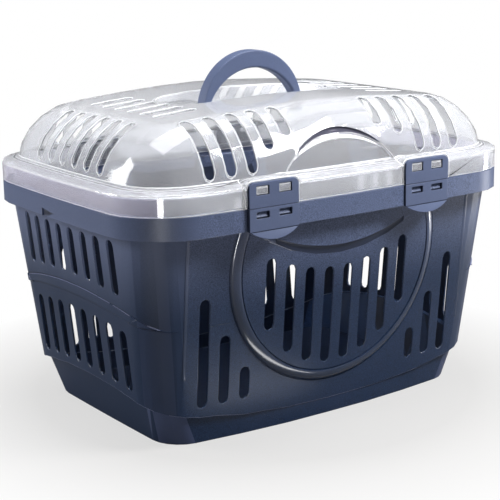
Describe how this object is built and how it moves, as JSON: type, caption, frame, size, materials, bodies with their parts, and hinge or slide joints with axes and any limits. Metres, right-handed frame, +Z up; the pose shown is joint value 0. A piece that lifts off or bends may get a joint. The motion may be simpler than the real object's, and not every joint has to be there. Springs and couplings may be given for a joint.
{
  "type": "pet carrier",
  "caption": "Small pet carrier: a slotted, tapered plastic tub with a clear vented dome lid, an arched carrying handle and folding snap clips along the rim.",
  "frame": {"origin": "middle of the underside of the tub's floor, on the surface that the carrier stands on", "axes": "+X along the carrier's long side to its right end, +Y to the rear side that the lid hinges on, +Z up"},
  "size_m": [0.399, 0.294, 0.3053],
  "materials": {
    "navy_body": "satin moulded",
    "navy_trim": "satin moulded",
    "clear_lid": "milky clear, glossy"
  },
  "bodies": {
    "base": {"tub": "navy_body"},
    "cover": {"lid": "clear_lid", "handle": "navy_trim", "front_left_clip_plate": "navy_trim", "front_right_clip_plate": "navy_trim", "rear_left_clip_plate": "navy_trim", "rear_right_clip_plate": "navy_trim"},
    "front_left_flap": {"front_left_clip_flap": "navy_trim"},
    "front_right_flap": {"front_right_clip_flap": "navy_trim"},
    "rear_left_flap": {"rear_left_clip_flap": "navy_trim"},
    "rear_right_flap": {"rear_right_clip_flap": "navy_trim"}
  },
  "joints": [
    {"name": "lid_hinge", "type": "hinge", "parent": "base", "child": "cover", "pos_m": [0, 0.14455, 0.198], "axis": [-1, 0, 0], "range_deg": [0, 110]},
    {"name": "front_left_latch", "type": "hinge", "parent": "cover", "child": "front_left_flap", "pos_m": [-0.08, -0.14455, 0.198], "axis": [-1, 0, 0], "range_deg": [0, 120]},
    {"name": "front_right_latch", "type": "hinge", "parent": "cover", "child": "front_right_flap", "pos_m": [0.08, -0.14455, 0.198], "axis": [-1, 0, 0], "range_deg": [0, 120]},
    {"name": "rear_left_latch", "type": "hinge", "parent": "base", "child": "rear_left_flap", "pos_m": [-0.08, 0.14455, 0.198], "axis": [1, 0, 0], "range_deg": [0, 65]},
    {"name": "rear_right_latch", "type": "hinge", "parent": "base", "child": "rear_right_flap", "pos_m": [0.08, 0.14455, 0.198], "axis": [1, 0, 0], "range_deg": [0, 65]}
  ]
}
